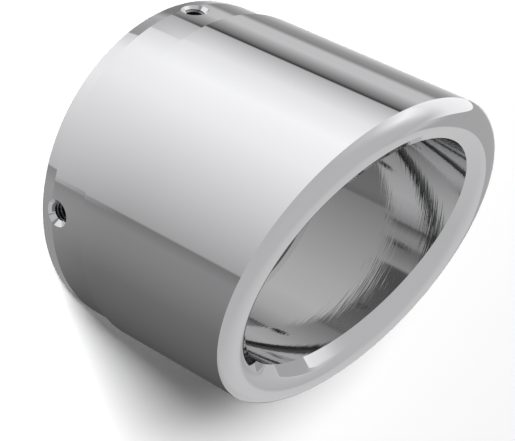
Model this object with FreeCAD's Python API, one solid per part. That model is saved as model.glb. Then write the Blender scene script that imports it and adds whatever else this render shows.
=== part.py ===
import FreeCAD, Part
import math
import os
from FreeCAD import Vector

# Slash-cut exhaust tip, machined from one billet and open from end to end.
# Millimetres. The origin is the centre of the rear face, +Z points out of the tip,
# and the slash leaves the long side of the tip towards -Y.

# Turned outside
body_diameter = 101.6
shell_thickness = 1.2
spigot_length = 18.0
shoulder_chamfer = 0.3
lead_taper_length = 4.5
lead_taper_drop = 0.6

# Bore, with a lead-in chamfer and a shallow relief groove for the pipe that enters from the rear
wall_thickness = 11.6
bore_rear_chamfer = 3.0
groove_start = 18.8
groove_width = 8.0
groove_depth = 1.5

# Slash-cut rim: a rounded crown that runs out into a straight slope down to the bore
rim_height = 76.0
slash_angle = 19.0
rim_crown = 2.9
rim_crown_radius = 6.0
rim_inner_drop = 0.5

# Tapped holes that take the fixing screws
screw_count = 4
screw_height = 6.5
tap_drill_diameter = 5.1
countersink_diameter = 8.4
countersink_angle = 90.0

# Spare length that tools run past the metal
tool_overrun = 5.0

body_radius = body_diameter / 2
bore_radius = body_radius - wall_thickness
groove_radius = bore_radius + groove_depth
groove_end = groove_start + groove_width
spigot_radius = body_radius - shell_thickness
middle_radius = (body_radius + bore_radius) / 2
slash_slope = math.tan(math.radians(slash_angle))
slash_rise = middle_radius * slash_slope
blank_height = rim_height + slash_rise + rim_crown + tool_overrun

centre = Vector(0, 0, 0)
tip_axis = Vector(0, 0, 1)


def closed_face(points):
    """Flat face inside straight edges that join the points in order."""
    return Part.Face(Part.makePolygon(points + points[:1]))


def turned_blank():
    """Body, shoulder, spigot, bore and its groove, turned to full length before the slash is cut."""
    profile = closed_face([
        Vector(bore_radius + bore_rear_chamfer, 0, 0),
        Vector(spigot_radius - lead_taper_drop, 0, 0),
        Vector(spigot_radius, 0, lead_taper_length),
        Vector(spigot_radius, 0, spigot_length),
        Vector(body_radius - shoulder_chamfer, 0, spigot_length),
        Vector(body_radius, 0, spigot_length + shoulder_chamfer),
        Vector(body_radius, 0, blank_height),
        Vector(bore_radius, 0, blank_height),
        Vector(bore_radius, 0, groove_end),
        Vector(groove_radius, 0, groove_end),
        Vector(groove_radius, 0, groove_start),
        Vector(bore_radius, 0, groove_start),
        Vector(bore_radius, 0, bore_rear_chamfer),
    ])
    blank = profile.revolve(centre, tip_axis, 360)
    # The seam of the turned faces is kept half way between two screw holes.
    blank.rotate(centre, tip_axis, 180 / screw_count)
    return blank


def rim_path():
    """Slanted ellipse that runs round the middle of the wall at the height of the rim."""
    slant = math.radians(slash_angle)
    along_slash = Vector(0, -math.cos(slant), math.sin(slant))
    across_slash = Vector(1, 0, 0)
    middle = Vector(0, 0, rim_height)
    crest = middle + along_slash * (middle_radius / math.cos(slant))
    side = middle + across_slash * middle_radius
    return Part.Wire([Part.Ellipse(crest, side, middle).toShape()])


def rim_cutter():
    """Everything above the rim: the rim's section, swept round the slanted path."""
    crest_height = rim_height + slash_rise
    crown_reach = math.sqrt(rim_crown_radius**2 - (rim_crown_radius - rim_crown) ** 2)
    crown_centre = Vector(0, crown_reach - body_radius, crest_height + rim_crown - rim_crown_radius)
    inner_edge = Vector(0, -bore_radius, crest_height - rim_inner_drop)
    # The straight slope starts at the bore's edge and touches the crown.
    to_centre = crown_centre - inner_edge
    slope = math.atan2(to_centre.z, -to_centre.y) + math.asin(rim_crown_radius / to_centre.Length)
    up_slope = Vector(0, -math.cos(slope), math.sin(slope))
    touch = inner_edge + up_slope * math.sqrt(to_centre.Length**2 - rim_crown_radius**2)
    # Both ends of the section lie in the air, clear of the rim's edges.
    outer_end = crown_centre + Vector(0, -rim_crown_radius, 0)
    outer_foot = outer_end + Vector(0, -tool_overrun, 0)
    inner_foot = inner_edge - up_slope * tool_overrun
    top = blank_height + 2 * slash_rise + tool_overrun
    outer_top = Vector(0, outer_foot.y, top)
    inner_top = Vector(0, inner_foot.y, top)
    section = Part.Wire([
        Part.makeLine(outer_foot, outer_end),
        Part.Arc(outer_end, crown_centre + Vector(0, 0, rim_crown_radius), touch).toShape(),
        Part.makeLine(touch, inner_foot),
        Part.makeLine(inner_foot, inner_top),
        Part.makeLine(inner_top, outer_top),
        Part.makeLine(outer_top, outer_foot),
    ])

    sweep = Part.BRepOffsetAPI.MakePipeShell(rim_path())
    sweep.setBiNormalMode(tip_axis)
    sweep.add(section)
    sweep.build()
    sweep.makeSolid()
    return sweep.shape()


def screw_hole(turn):
    """Tap drill and countersink of one fixing screw, drilled in from the spigot's outside."""
    drill_radius = tap_drill_diameter / 2
    sink_radius = countersink_diameter / 2
    sink_slope = math.tan(math.radians(countersink_angle / 2))
    start = bore_radius - tool_overrun
    length = spigot_radius + tool_overrun - start
    drill = Part.makeCylinder(drill_radius, length, Vector(start, 0, screw_height), Vector(1, 0, 0))
    sink_depth = (sink_radius - drill_radius) / sink_slope
    sink = Part.makeCone(
        drill_radius,
        sink_radius + tool_overrun * sink_slope,
        sink_depth + tool_overrun,
        Vector(spigot_radius - sink_depth, 0, screw_height),
        Vector(1, 0, 0),
    )
    hole = drill.fuse(sink)
    hole.rotate(centre, tip_axis, turn)
    return hole


def exhaust_tip():
    """The finished tip: blank, slash-cut crowned rim and the ring of screw holes."""
    tip = turned_blank().cut(rim_cutter())
    for number in range(screw_count):
        tip = tip.cut(screw_hole(-90 + number * 360 / screw_count))
    return tip.Solids[0]


tip = exhaust_tip()
os.makedirs("parts", exist_ok=True)
tip.exportStep("parts/exhaust_tip.step")

box = tip.optimalBoundingBox(False, False)
print("solids", len(tip.Solids), "valid", tip.isValid(), "faces", len(tip.Faces))
print("size", round(box.XLength, 2), round(box.YLength, 2), round(box.ZLength, 2), "lowest", round(box.ZMin, 2))
print("volume", round(tip.Volume), "bore", round(2 * bore_radius, 2))
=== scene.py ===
import math

import bmesh
import bpy
from mathutils import Matrix, Vector


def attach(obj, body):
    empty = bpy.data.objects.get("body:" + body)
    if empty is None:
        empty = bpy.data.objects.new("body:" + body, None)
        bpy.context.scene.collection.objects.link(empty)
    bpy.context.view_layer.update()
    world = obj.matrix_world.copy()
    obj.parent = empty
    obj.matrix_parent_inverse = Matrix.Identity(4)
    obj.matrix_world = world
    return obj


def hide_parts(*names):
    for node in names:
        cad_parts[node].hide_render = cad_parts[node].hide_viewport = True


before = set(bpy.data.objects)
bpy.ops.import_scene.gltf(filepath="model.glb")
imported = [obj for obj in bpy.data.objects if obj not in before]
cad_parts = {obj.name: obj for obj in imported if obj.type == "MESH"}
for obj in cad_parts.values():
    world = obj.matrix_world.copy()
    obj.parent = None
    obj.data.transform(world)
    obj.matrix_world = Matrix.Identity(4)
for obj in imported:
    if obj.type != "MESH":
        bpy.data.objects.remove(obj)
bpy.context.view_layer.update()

MM = 0.001

# Turned outside, in millimetres
BODY_R = 50.8
SPIGOT_R = 49.6
SPIGOT_LENGTH = 18.0
SHOULDER_CHAMFER = 0.3
LEAD_TAPER_LENGTH = 4.5
LEAD_TAPER_DROP = 0.6

# Bore
BORE_R = 39.2
BORE_REAR_CHAMFER = 3.0
GROOVE_START = 18.8
GROOVE_WIDTH = 8.0
GROOVE_DEPTH = 1.5
GROOVE_END = GROOVE_START + GROOVE_WIDTH

# Slash-cut rim: a rounded crown that runs out into a straight slope down to the bore
RIM_HEIGHT = 76.0
SLASH_ANGLE = 19.0
RIM_CROWN = 2.9
RIM_CROWN_R = 6.0
RIM_INNER_DROP = 0.5

# Tapped holes for quarter inch screws of twenty threads to the inch
SCREW_HEIGHT = 6.5
SINK_R = 4.2
THREAD_MINOR_R = 2.55
THREAD_MAJOR_R = 3.15
THREAD_PITCH = 1.27
THREAD_TURNS = 10
SCREW_COUNT = 4

# The tap starts this far inside the bore, and the countersink drill ends this far outside the spigot
TAP_OVERRUN = 2.5
SINK_OVERRUN = 3.0

# Below this height the walls are the same all round, above it they follow the slash
STRAIGHT_HEIGHT = 52.0

# Flats round the turned surfaces, round a thread's turn and round a countersink, and rows in the rim's arc
ROUND_STEPS = 720
THREAD_STEPS = 48
SINK_STEPS = 96
RIM_ROWS = 64

# Steps between flats that are finer than this, in degrees, are shaded smooth, and edges stay crisp
SMOOTH_ANGLE = 5

MIDDLE_R = (BODY_R + BORE_R) / 2
SLASH_RISE = MIDDLE_R * math.tan(math.radians(SLASH_ANGLE))


def linear(hex_colour):
    """Linear colour of an sRGB hex colour."""
    parts = [int(hex_colour[place : place + 2], 16) / 255 for place in (1, 3, 5)]
    light = [part / 12.92 if part <= 0.04045 else ((part + 0.055) / 1.055) ** 2.4 for part in parts]
    return (*light, 1.0)


def add_node(tree, kind, settings=None, inputs=None, links=None):
    """Adds a shader node, with its settings, its input values and the sockets that feed it."""
    node = tree.nodes.new(kind)
    for name, value in (settings or {}).items():
        setattr(node, name, value)
    for name, value in (inputs or {}).items():
        node.inputs[name].default_value = value
    for name, socket in (links or {}).items():
        tree.links.new(socket, node.inputs[name])
    return node


def deselect_all():
    if bpy.context.mode != "OBJECT":
        bpy.ops.object.mode_set(mode="OBJECT")
    bpy.ops.object.select_all(action="DESELECT")


def activate(obj):
    deselect_all()
    obj.select_set(True)
    bpy.context.view_layer.objects.active = obj


# The camera is fitted to the outline, the rim's edges and the screw holes in the photograph

def place_camera():
    lens = bpy.data.cameras.new("photo_camera")
    lens.sensor_width = 36.0
    lens.lens = 163.479
    lens.clip_start = 0.01
    lens.clip_end = 50.0
    camera = bpy.data.objects.new("photo_camera", lens)
    bpy.context.scene.collection.objects.link(camera)
    right = Vector((-0.70705048, -0.06650301, 0.70402909))
    down = Vector((0.27252693, 0.89304337, 0.35805391))
    into = Vector((-0.65254018, 0.44502908, -0.61330289))
    turn = Matrix((right, -down, -into)).transposed().to_4x4()
    camera.matrix_world = Matrix.Translation((0.43642886, -0.29248334, 0.44709867)) @ turn
    bpy.context.scene.camera = camera


place_camera()


# The tip is turned from one closed section, then its front is slashed

def rim_section():
    """The rim's section: the crown's centre, its swing from the outer edge, and the slope's two ends."""
    reach = math.sqrt(RIM_CROWN_R**2 - (RIM_CROWN_R - RIM_CROWN) ** 2)
    centre = Vector((BODY_R - reach, RIM_HEIGHT + RIM_CROWN - RIM_CROWN_R))
    outer_edge = Vector((BODY_R, RIM_HEIGHT))
    inner_edge = Vector((BORE_R, RIM_HEIGHT - RIM_INNER_DROP))
    to_centre = centre - inner_edge
    slope = math.atan2(to_centre.y, to_centre.x) + math.asin(RIM_CROWN_R / to_centre.length)
    flat = math.sqrt(to_centre.length_squared - RIM_CROWN_R**2)
    touch = inner_edge + Vector((math.cos(slope), math.sin(slope))) * flat
    start, end = outer_edge - centre, touch - centre
    swing = math.atan2(end.y, end.x) - math.atan2(start.y, start.x)
    return centre, swing, touch, inner_edge


def empty_mesh(name):
    """New mesh object in edit mode with a single vertex at the origin, ready to be drawn from."""
    deselect_all()
    bpy.ops.mesh.primitive_plane_add(size=0.001)
    obj = bpy.context.active_object
    obj.name = name
    bpy.ops.object.mode_set(mode="EDIT")
    bpy.ops.mesh.merge(type="CENTER")
    return obj


def draw_to(here, there):
    """Extrudes the selected point from one place of the section to the next, in millimetres."""
    move = ((there[0] - here[0]) * MM, 0, (there[1] - here[1]) * MM)
    bpy.ops.mesh.extrude_region_move(TRANSFORM_OT_translate={"value": move})


def draw_line(points):
    """Moves the first point of a new mesh into place and draws the section through the others."""
    bpy.ops.transform.translate(value=(points[0][0] * MM, 0, points[0][1] * MM))
    for here, there in zip(points, points[1:]):
        draw_to(here, there)


def turn_tip():
    """Draws the half section, spins it round the bore's axis and slants its front."""
    tip = empty_mesh("chromed_tip")
    outside = [
        (BORE_R + BORE_REAR_CHAMFER, 0),
        (SPIGOT_R - LEAD_TAPER_DROP, 0),
        (SPIGOT_R, LEAD_TAPER_LENGTH),
        (SPIGOT_R, SPIGOT_LENGTH),
        (BODY_R - SHOULDER_CHAMFER, SPIGOT_LENGTH),
        (BODY_R, SPIGOT_LENGTH + SHOULDER_CHAMFER),
        (BODY_R, STRAIGHT_HEIGHT),
        (BODY_R, RIM_HEIGHT),
    ]
    draw_line(outside)
    centre, swing, touch, inner_edge = rim_section()
    bpy.ops.mesh.spin(
        steps=RIM_ROWS, angle=swing, center=(centre.x * MM, 0, centre.y * MM), axis=(0, 1, 0)
    )
    inside = [
        touch,
        inner_edge,
        (BORE_R, STRAIGHT_HEIGHT),
        (BORE_R, GROOVE_END),
        (BORE_R + GROOVE_DEPTH, GROOVE_END),
        (BORE_R + GROOVE_DEPTH, GROOVE_START),
        (BORE_R, GROOVE_START),
        (BORE_R, BORE_REAR_CHAMFER),
        outside[0],
    ]
    for here, there in zip(inside, inside[1:]):
        draw_to(here, there)

    bpy.ops.mesh.select_all(action="SELECT")
    bpy.ops.mesh.spin(steps=ROUND_STEPS, angle=2 * math.pi, center=(0, 0, 0), axis=(0, 0, 1))
    bpy.ops.mesh.select_all(action="SELECT")
    bpy.ops.mesh.remove_doubles(threshold=0.000002)
    bpy.ops.mesh.normals_make_consistent(inside=False)
    bpy.ops.object.mode_set(mode="OBJECT")
    slant_start = (STRAIGHT_HEIGHT + 1) * MM
    for vertex in tip.data.vertices:
        place = vertex.co
        if place.z > slant_start:
            place.z -= SLASH_RISE * MM * place.y / math.hypot(place.x, place.y)
    return tip


# Screw holes: a countersink and a real helical thread, cut into the spigot from four sides

def thread_cutter():
    """Tap of the thread's full form along Z, from inside the bore to outside the spigot."""
    tap = empty_mesh("tap")
    crest, flank = THREAD_PITCH / 8, (THREAD_MAJOR_R - THREAD_MINOR_R) * math.tan(math.radians(30))
    foot = BORE_R - TAP_OVERRUN
    draw_line([
        (THREAD_MINOR_R, foot),
        (THREAD_MAJOR_R, foot + flank),
        (THREAD_MAJOR_R, foot + flank + crest),
        (THREAD_MINOR_R, foot + 2 * flank + crest),
        (THREAD_MINOR_R, foot + THREAD_PITCH),
    ])
    bpy.ops.object.mode_set(mode="OBJECT")
    winding = tap.modifiers.new("winding", "SCREW")
    winding.axis = "Z"
    winding.screw_offset = THREAD_PITCH * MM
    winding.iterations = THREAD_TURNS
    winding.steps = winding.render_steps = THREAD_STEPS
    winding.use_merge_vertices = False
    bpy.ops.object.modifier_apply(modifier="winding")
    bpy.ops.object.mode_set(mode="EDIT")
    bpy.ops.mesh.select_all(action="SELECT")
    bpy.ops.mesh.remove_doubles(threshold=0.000002)
    # Each open end is closed by a fan of faces to a point on the axis.
    mesh = bmesh.from_edit_mesh(tap.data)
    ends = [edge for edge in mesh.edges if edge.is_boundary]
    middle = sum((edge.verts[0].co.z for edge in ends), 0.0) / len(ends)
    for side in (-1, 1):
        rim = [edge for edge in ends if (edge.verts[0].co.z - middle) * side > 0]
        height = sum((edge.verts[0].co.z for edge in rim), 0.0) / len(rim)
        hub = mesh.verts.new((0, 0, height))
        for edge in rim:
            mesh.faces.new((edge.verts[0], edge.verts[1], hub))
    bmesh.update_edit_mesh(tap.data)
    bpy.ops.mesh.select_all(action="SELECT")
    bpy.ops.mesh.normals_make_consistent(inside=False)
    bpy.ops.object.mode_set(mode="OBJECT")
    return tap


def hole_cutter():
    """Tap and countersink drill joined into one cutter along Z."""
    tap = thread_cutter()
    deselect_all()
    depth = SINK_R - THREAD_MINOR_R + SINK_OVERRUN
    bpy.ops.mesh.primitive_cone_add(
        vertices=SINK_STEPS,
        radius1=THREAD_MINOR_R * MM,
        radius2=(SINK_R + SINK_OVERRUN) * MM,
        depth=depth * MM,
        location=(0, 0, (SPIGOT_R + SINK_OVERRUN - depth / 2) * MM),
    )
    sink = bpy.context.active_object
    bpy.ops.object.transform_apply(location=True, rotation=True, scale=True)
    activate(tap)
    union = tap.modifiers.new("union", "BOOLEAN")
    union.operation = "UNION"
    union.solver = "EXACT"
    union.object = sink
    bpy.ops.object.modifier_apply(modifier="union")
    bpy.data.objects.remove(sink)
    return tap


def cut_screw_holes(tip):
    """Cuts the ring of countersunk, threaded holes into the spigot."""
    first = hole_cutter()
    # The cutter's Z axis is laid along +X at the holes' height.
    first.data.transform(Matrix.Translation((0, 0, SCREW_HEIGHT * MM)) @ Matrix.Rotation(math.pi / 2, 4, "Y"))
    cutters = [first]
    for number in range(1, SCREW_COUNT):
        cutter = first.copy()
        cutter.data = first.data.copy()
        cutter.data.transform(Matrix.Rotation(number * 2 * math.pi / SCREW_COUNT, 4, "Z"))
        bpy.context.scene.collection.objects.link(cutter)
        cutters.append(cutter)
    for cutter in cutters:
        activate(tip)
        cut = tip.modifiers.new("screw_hole", "BOOLEAN")
        cut.operation = "DIFFERENCE"
        cut.solver = "EXACT"
        cut.object = cutter
        bpy.ops.object.modifier_apply(modifier="screw_hole")
        bpy.data.objects.remove(cutter)


def place_faces(tip):
    """Gives each face its finish: plated outside, turned bore, tapped thread or dull groove."""
    plated, turned, tapped, dull = range(4)
    # How far, in millimetres, a face may lie from a surface and still count as part of it
    near = 0.1
    very_near = 0.01
    for face in tip.data.polygons:
        x, y, z = face.center / MM
        radius = math.hypot(x, y)
        off_hole = math.hypot(min(abs(x), abs(y)), z - SCREW_HEIGHT)
        faces_axis = (face.normal.x * x + face.normal.y * y) / radius < -0.9
        in_wall = BORE_R + very_near < radius < SPIGOT_R
        in_groove = (
            BORE_R + near < radius < BORE_R + GROOVE_DEPTH + near
            and GROOVE_START - near < z < GROOVE_END + near
        )
        if off_hole < THREAD_MAJOR_R and in_wall:
            face.material_index = tapped
        elif in_groove:
            face.material_index = dull
        elif faces_axis and radius < BORE_R + near:
            face.material_index = turned
        else:
            face.material_index = plated


tip = turn_tip()
cut_screw_holes(tip)

activate(tip)
bpy.ops.object.shade_smooth_by_angle(angle=math.radians(SMOOTH_ANGLE))


def new_material(name):
    """Empty node material and its tree."""
    material = bpy.data.materials.new(name)
    material.use_nodes = True
    material.node_tree.nodes.clear()
    return material, material.node_tree


def ring_pattern(tree, along, around):
    """Noise drawn out round the axis, with features of the given lengths in millimetres."""
    place = add_node(tree, "ShaderNodeTexCoord").outputs["Object"]
    stretched = add_node(
        tree,
        "ShaderNodeMapping",
        inputs={"Scale": (1 / (around * MM), 1 / (around * MM), 1 / (along * MM))},
        links={"Vector": place},
    )
    return add_node(
        tree,
        "ShaderNodeTexNoise",
        inputs={"Scale": 1.0, "Detail": 2.0, "Roughness": 0.5},
        links={"Vector": stretched.outputs[0]},
    ).outputs["Fac"]


def mirror_chrome():
    """Chrome plate on polished aluminium: a hard cool mirror with a last faint haze from the wheel.

    Real polishing marks are far too fine to show, so their pattern is coarser here, and very shallow.
    """
    material, tree = new_material("mirror_polished_chrome_plate")
    haze = add_node(
        tree,
        "ShaderNodeMapRange",
        inputs={"From Min": 0.3, "From Max": 0.7, "To Min": 0.006, "To Max": 0.022},
        links={"Value": ring_pattern(tree, along=2.5, around=9.0)},
    )
    wheel_marks = add_node(
        tree,
        "ShaderNodeBump",
        inputs={"Strength": 1.0, "Distance": 0.00012 * MM},
        links={"Height": ring_pattern(tree, along=0.6, around=14.0)},
    )
    surface = add_node(
        tree,
        "ShaderNodeBsdfPrincipled",
        inputs={"Base Color": linear("#e6e6e8"), "Metallic": 1.0},
        links={"Roughness": haze.outputs[0], "Normal": wheel_marks.outputs[0]},
    )
    add_node(tree, "ShaderNodeOutputMaterial", links={"Surface": surface.outputs["BSDF"]})
    return material


def turned_bore():
    """Chromed bore left as finely turned: still a mirror, but its reflections break up into rings.

    The tool's feed of 0.2 mm is too fine to show, so the marks are drawn three times as coarse.
    """
    material, tree = new_material("fine_turned_chromed_bore")
    marks = add_node(
        tree,
        "ShaderNodeBump",
        inputs={"Strength": 1.0, "Distance": 0.02 * MM},
        links={"Height": ring_pattern(tree, along=0.6, around=14.0)},
    )
    surface = add_node(
        tree,
        "ShaderNodeBsdfPrincipled",
        inputs={"Base Color": linear("#eeeeef"), "Metallic": 1.0, "Roughness": 0.06},
        links={"Normal": marks.outputs[0]},
    )
    add_node(tree, "ShaderNodeOutputMaterial", links={"Surface": surface.outputs["BSDF"]})
    return material


def cut_thread():
    """Tapped aluminium with only a trace of plating: dull grey flanks, torn a little by the tap."""
    material, tree = new_material("tapped_aluminium_thread")
    tears = ring_pattern(tree, along=0.4, around=0.4)
    roughness = add_node(
        tree,
        "ShaderNodeMapRange",
        inputs={"From Min": 0.3, "From Max": 0.7, "To Min": 0.2, "To Max": 0.38},
        links={"Value": tears},
    )
    torn = add_node(
        tree, "ShaderNodeBump", inputs={"Strength": 1.0, "Distance": 0.015 * MM}, links={"Height": tears}
    )
    surface = add_node(
        tree,
        "ShaderNodeBsdfPrincipled",
        inputs={"Base Color": linear("#8e9092"), "Metallic": 1.0},
        links={"Roughness": roughness.outputs[0], "Normal": torn.outputs[0]},
    )
    add_node(tree, "ShaderNodeOutputMaterial", links={"Surface": surface.outputs["BSDF"]})
    return material


def dull_groove():
    """Groove in the bore, dark grey and rough below a set height and light and smooth above it, with the
    tool's rings in it.

    A rough feed is about 0.4 mm, and its rings are drawn twice as coarse, so that they show.
    """
    material, tree = new_material("rough_turned_groove")
    rings = add_node(
        tree,
        "ShaderNodeBump",
        inputs={"Strength": 1.0, "Distance": 0.02 * MM},
        links={"Height": ring_pattern(tree, along=0.8, around=30.0)},
    )
    place = add_node(tree, "ShaderNodeTexCoord").outputs["Object"]
    height = add_node(tree, "ShaderNodeSeparateXYZ", links={"Vector": place}).outputs["Z"]
    # The groove is dark and rough up to about three millimetres below its upper edge, and light and smooth
    # above.
    upper_part_start = (GROOVE_END - 3.2) * MM
    upper_part = add_node(
        tree,
        "ShaderNodeMapRange",
        inputs={"From Min": upper_part_start, "From Max": upper_part_start + 0.3 * MM},
        links={"Value": height},
    ).outputs["Result"]
    roughness = add_node(
        tree, "ShaderNodeMapRange", inputs={"To Min": 0.45, "To Max": 0.06}, links={"Value": upper_part}
    )
    # Dark grey below the set height and light above it.
    colour = add_node(
        tree,
        "ShaderNodeMix",
        {"data_type": "RGBA"},
        {6: linear("#828482"), 7: linear("#e2e3e2")},
        {"Factor": upper_part},
    )
    surface = add_node(
        tree,
        "ShaderNodeBsdfPrincipled",
        inputs={"Metallic": 1.0},
        links={
            "Base Color": colour.outputs[2],
            "Roughness": roughness.outputs[0],
            "Normal": rings.outputs[0],
        },
    )
    add_node(tree, "ShaderNodeOutputMaterial", links={"Surface": surface.outputs["BSDF"]})
    return material


tip.data.materials.append(mirror_chrome())
tip.data.materials.append(turned_bore())
tip.data.materials.append(cut_thread())
tip.data.materials.append(dull_groove())
place_faces(tip)

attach(tip, "root")
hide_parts("exhaust_tip")


# Studio: white floor, and round the tip a light tent whose panels the chrome mirrors

WHITE = (1, 1, 1, 1)


def grey_ramp(tree, stops, factor):
    """Colour ramp round the studio, from stops of azimuth in degrees and sRGB grey."""
    node = add_node(tree, "ShaderNodeValToRGB", links={"Fac": factor})
    ramp = node.color_ramp
    ramp.interpolation = "LINEAR"
    while len(ramp.elements) < len(stops):
        ramp.elements.new(0.5)
    for element, (azimuth, grey) in zip(ramp.elements, stops):
        element.position = (azimuth + 180) / 360
        element.color = linear("#%02x%02x%02x" % (grey, grey, grey))
    return node.outputs["Color"]


# Brightness of what the chrome mirrors, which makes up for the light that the metal takes, and of what
# lights the matt things evenly from all sides
MIRRORED_LEVEL = 1.25
FILL_LEVEL = 0.08

# Lower half of the studio, which the upright sides mirror: bright table, the dark panel beside the
# short side, and a narrow dark gap beside the bright panel
LOW_RING = [
    (-180, 147), (-169.5, 129), (-164, 187), (-152, 190), (-137, 100), (-135.6, 50), (-134.8, 50),
    (-134.5, 172), (-113, 228), (-92, 246), (-67, 235), (12.3, 157), (12.6, 116), (21, 132), (33, 128),
    (61, 106), (125, 72), (153, 74), (156, 202), (180, 147),
]
# Table close to the tip, which the lead taper mirrors
TABLE_RING = [
    (-180, 149), (-162, 124), (-149, 122), (-141, 172), (-134.5, 162), (-115, 147), (-114.5, 206),
    (-98, 233), (-71, 233), (14.9, 177), (15.2, 134), (29, 149), (129, 139), (157, 224), (180, 149),
]
# Gap between table and tent, just under and at the horizon
GAP_RING = [
    (-180, 205), (-145, 210), (-128, 160), (-100, 145), (60, 145), (130, 190), (140, 188), (144, 156),
    (165, 160), (180, 205),
]
# Tent above the horizon
HIGH_RING = [
    (-180, 182), (-128, 244), (-98, 193), (-60, 177), (75, 176), (125, 190), (138, 190), (144, 172),
    (180, 182),
]
ZENITH = "#b2b2b2"

# Elevations in degrees between which one part of the studio gives way to the next
TABLE_TO_LOW = (-43.8, -40.5)
LOW_TO_GAP = (-27, -22)
GAP_TO_HIGH = (-8, 4)
HIGH_TO_ZENITH = (36, 68)


def build_world():
    world = bpy.data.worlds.new("studio")
    bpy.context.scene.world = world
    world.use_nodes = True
    tree = world.node_tree
    tree.nodes.clear()
    direction = add_node(tree, "ShaderNodeTexCoord").outputs["Generated"]
    parts = add_node(tree, "ShaderNodeSeparateXYZ", links={"Vector": direction}).outputs
    azimuth = add_node(tree, "ShaderNodeMath", {"operation": "ARCTAN2"}, links={0: parts["Y"], 1: parts["X"]})
    turn = add_node(
        tree,
        "ShaderNodeMapRange",
        inputs={"From Min": -math.pi, "From Max": math.pi},
        links={"Value": azimuth.outputs[0]},
    ).outputs["Result"]
    height = parts["Z"]

    def rise(start, end):
        return add_node(
            tree,
            "ShaderNodeMapRange",
            {"interpolation_type": "SMOOTHSTEP"},
            {"From Min": math.sin(math.radians(start)), "From Max": math.sin(math.radians(end))},
            {"Value": height},
        ).outputs["Result"]

    def blend(factor, first, second):
        return add_node(
            tree, "ShaderNodeMix", {"data_type": "RGBA"}, links={"Factor": factor, 6: first, 7: second}
        ).outputs[2]

    pattern = grey_ramp(tree, TABLE_RING, turn)
    pattern = blend(rise(*TABLE_TO_LOW), pattern, grey_ramp(tree, LOW_RING, turn))
    pattern = blend(rise(*LOW_TO_GAP), pattern, grey_ramp(tree, GAP_RING, turn))
    pattern = blend(rise(*GAP_TO_HIGH), pattern, grey_ramp(tree, HIGH_RING, turn))
    zenith = add_node(tree, "ShaderNodeRGB").outputs[0]
    zenith.default_value = linear(ZENITH)
    pattern = blend(rise(*HIGH_TO_ZENITH), pattern, zenith)

    mirrored = add_node(
        tree, "ShaderNodeBackground", inputs={"Strength": MIRRORED_LEVEL}, links={"Color": pattern}
    )
    fill = add_node(tree, "ShaderNodeBackground", inputs={"Color": WHITE, "Strength": FILL_LEVEL})
    white = add_node(tree, "ShaderNodeBackground", inputs={"Color": WHITE, "Strength": 1.0})
    path = add_node(tree, "ShaderNodeLightPath").outputs
    lit = add_node(
        tree,
        "ShaderNodeMixShader",
        links={0: path["Is Glossy Ray"], 1: fill.outputs[0], 2: mirrored.outputs[0]},
    )
    seen = add_node(
        tree, "ShaderNodeMixShader", links={0: path["Is Camera Ray"], 1: lit.outputs[0], 2: white.outputs[0]}
    )
    add_node(tree, "ShaderNodeOutputWorld", links={"Surface": seen.outputs[0]})


build_world()


# The floor lies just under the tip, and between two distances from it runs out into plain white, in metres
FLOOR_SIZE = 8
FLOOR_HEIGHT = -0.0002
RUN_OUT_START = 0.2
RUN_OUT_END = 0.45
PAPER_LIFT = 0.03

# The painted shade lies between the floor and the tip: a see-through grey sheet with a faint painted glow,
# seen only in the chrome
SHADE_HEIGHT = -0.0001
SHADE_STEPS = 96
SHADE_GREY = 0.37
SHADE_PAINTED_GLOW = 0.06


def white_floor():
    """Sheet of white paper that keeps the tip's shadow."""
    deselect_all()
    bpy.ops.mesh.primitive_plane_add(size=FLOOR_SIZE, location=(0, 0, FLOOR_HEIGHT))
    floor = bpy.context.active_object
    floor.name = "white_floor"
    material, tree = new_material("matt_white_paper")
    paper = add_node(tree, "ShaderNodeBsdfDiffuse", inputs={"Color": linear("#fdfdfd")})
    # The paper is lifted a little towards plain white wherever it is seen or mirrored.
    path = add_node(tree, "ShaderNodeLightPath").outputs
    mirrored = add_node(
        tree,
        "ShaderNodeMath",
        {"operation": "MAXIMUM"},
        links={0: path["Is Glossy Ray"], 1: path["Is Transmission Ray"]},
    )
    seen = add_node(
        tree,
        "ShaderNodeMath",
        {"operation": "MAXIMUM"},
        links={0: path["Is Camera Ray"], 1: mirrored.outputs[0]},
    )
    lift = add_node(tree, "ShaderNodeMath", {"operation": "MULTIPLY"}, {1: PAPER_LIFT}, {0: seen.outputs[0]})
    glow = add_node(tree, "ShaderNodeEmission", inputs={"Color": WHITE}, links={"Strength": lift.outputs[0]})
    both = add_node(tree, "ShaderNodeAddShader", links={0: paper.outputs[0], 1: glow.outputs[0]})
    # Clear of the tip and its shadow the paper runs out into the plain white background.
    place = add_node(tree, "ShaderNodeTexCoord").outputs["Object"]
    from_tip = add_node(tree, "ShaderNodeVectorMath", {"operation": "LENGTH"}, links={0: place})
    away = add_node(
        tree,
        "ShaderNodeMapRange",
        {"interpolation_type": "SMOOTHSTEP"},
        {"From Min": RUN_OUT_START, "From Max": RUN_OUT_END},
        {"Value": from_tip.outputs["Value"]},
    )
    blend = add_node(
        tree, "ShaderNodeMath", {"operation": "MULTIPLY"}, links={0: away.outputs[0], 1: seen.outputs[0]}
    )
    plain = add_node(tree, "ShaderNodeEmission", inputs={"Color": WHITE, "Strength": 1.0})
    surface = add_node(
        tree, "ShaderNodeMixShader", links={0: blend.outputs[0], 1: both.outputs[0], 2: plain.outputs[0]}
    )
    add_node(tree, "ShaderNodeOutputMaterial", links={"Surface": surface.outputs[0]})
    floor.data.materials.append(material)
    floor.visible_glossy = False


def show_only_in_chrome(obj):
    """Leaves a studio thing to the mirrored rays alone, so that it casts no light or shadow."""
    obj.visible_camera = False
    obj.visible_diffuse = False
    obj.visible_shadow = False


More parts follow.
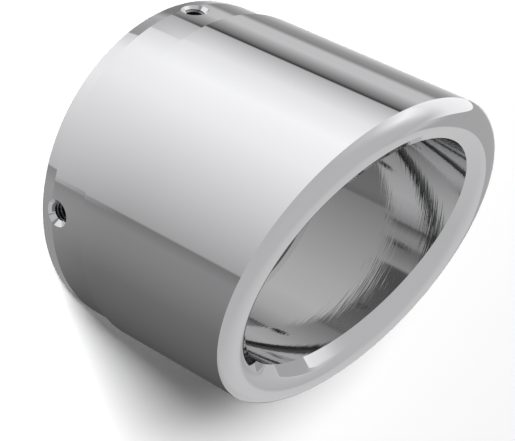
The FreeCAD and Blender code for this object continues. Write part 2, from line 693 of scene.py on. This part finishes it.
def shade_inside():
    """Painted shade of the paper that the bore stands on, as the chrome mirrors it: a see-through grey sheet
    with a faint painted glow.
    """
    deselect_all()
    bpy.ops.mesh.primitive_circle_add(
        vertices=SHADE_STEPS,
        radius=(SPIGOT_R - LEAD_TAPER_DROP) * MM,
        fill_type="NGON",
        location=(0, 0, SHADE_HEIGHT),
    )
    shade = bpy.context.active_object
    shade.name = "shade_inside"
    material, tree = new_material("shaded_paper")
    # Painted shade: the sheet lets through only part of what lies beyond it, and adds a faint painted glow.
    clear = add_node(
        tree, "ShaderNodeBsdfTransparent", inputs={"Color": (SHADE_GREY, SHADE_GREY, SHADE_GREY, 1)}
    )
    glow = add_node(tree, "ShaderNodeEmission", inputs={"Color": WHITE, "Strength": SHADE_PAINTED_GLOW})
    both = add_node(tree, "ShaderNodeAddShader", links={0: clear.outputs[0], 1: glow.outputs[0]})
    add_node(tree, "ShaderNodeOutputMaterial", links={"Surface": both.outputs[0]})
    shade.data.materials.append(material)
    show_only_in_chrome(shade)


# Corners of the two cards beside the tip, in millimetres, first both at the foot and then both at the
# head. The grey card stands in front of the left end of the white one.
GREY_CARD = [(-83, 35, 62), (-117, -45, 60), (-91, 17, 245), (-99, -4, 245)]
WHITE_CARD = [(-89, 25, 40), (-300, -470, 40), (-89, 25, 330), (-300, -470, 330)]

# Heights in millimetres between which both cards fade out, and the share of a card's height over which
# its foot does
CARD_FADE_START = 145
CARD_FADE_END = 215
FOOT_FADE_SHARE = 0.12


def studio_card(name, corners, low_colour, high_colour, foot_fade):
    """Glowing card, a painted panel of light that shows only in the chrome, toned from foot to head, with a
    soft head.

    The foot fades out fully where foot_fade is 1 and stays crisp where it is 0.
    """
    deselect_all()
    bpy.ops.mesh.primitive_plane_add(size=1)
    card = bpy.context.active_object
    card.name = name
    for vertex, corner in zip(card.data.vertices, corners):
        vertex.co = Vector(corner) * MM
    material, tree = new_material(name + "_paper")
    place = add_node(tree, "ShaderNodeTexCoord").outputs["Object"]
    height = add_node(tree, "ShaderNodeSeparateXYZ", links={"Vector": place}).outputs["Z"]
    rise = add_node(
        tree,
        "ShaderNodeMapRange",
        inputs={"From Min": corners[0][2] * MM, "From Max": corners[2][2] * MM},
        links={"Value": height},
    )
    colour = add_node(
        tree,
        "ShaderNodeMix",
        {"data_type": "RGBA"},
        {6: linear(low_colour), 7: linear(high_colour)},
        {"Factor": rise.outputs["Result"]},
    )
    # The card glows at the mirrored level instead of being lit: painted light, brighter or darker from foot
    # to head.
    glow = add_node(
        tree, "ShaderNodeEmission", inputs={"Strength": MIRRORED_LEVEL}, links={"Color": colour.outputs[2]}
    )
    clear = add_node(tree, "ShaderNodeBsdfTransparent")
    foot = add_node(
        tree,
        "ShaderNodeMapRange",
        inputs={"To Min": 1 - foot_fade, "From Max": FOOT_FADE_SHARE},
        links={"Value": rise.outputs["Result"]},
    )
    head = add_node(
        tree,
        "ShaderNodeMapRange",
        {"interpolation_type": "SMOOTHSTEP"},
        {"From Min": CARD_FADE_END * MM, "From Max": CARD_FADE_START * MM},
        {"Value": height},
    )
    solid = add_node(
        tree,
        "ShaderNodeMath",
        {"operation": "MULTIPLY"},
        links={0: foot.outputs["Result"], 1: head.outputs["Result"]},
    )
    surface = add_node(
        tree, "ShaderNodeMixShader", links={0: solid.outputs[0], 1: clear.outputs[0], 2: glow.outputs[0]}
    )
    add_node(tree, "ShaderNodeOutputMaterial", links={"Surface": surface.outputs[0]})
    card.data.materials.append(material)
    show_only_in_chrome(card)


def soft_box(name, azimuth, elevation, side, level):
    """Square soft box aimed at the tip, which by itself lights the floor to the given level."""
    distance = 3.0
    tilt, turn = math.radians(elevation), math.radians(azimuth)
    lamp = bpy.data.lights.new(name, "AREA")
    lamp.size = side
    lamp.energy = level * math.pi**2 * distance**2 / math.sin(tilt)
    box = bpy.data.objects.new(name, lamp)
    bpy.context.scene.collection.objects.link(box)
    toward = Vector((math.cos(tilt) * math.cos(turn), math.cos(tilt) * math.sin(turn), math.sin(tilt)))
    box.location = toward * distance
    box.rotation_euler = toward.to_track_quat("Z", "Y").to_euler()
    box.visible_glossy = False
    box.visible_camera = False


white_floor()
shade_inside()
studio_card("grey_card", GREY_CARD, "#a0a0a0", "#a4a4a4", foot_fade=0)
studio_card("white_card", WHITE_CARD, "#f8f8f8", "#cccccc", foot_fade=1)
soft_box("key_soft_box", azimuth=-55, elevation=43.5, side=0.9, level=1.02)

bpy.context.scene.view_settings.view_transform = "Standard"
# Light goes to and fro many times inside the chromed bore.
bpy.context.scene.cycles.max_bounces = 16
bpy.context.scene.cycles.glossy_bounces = 12
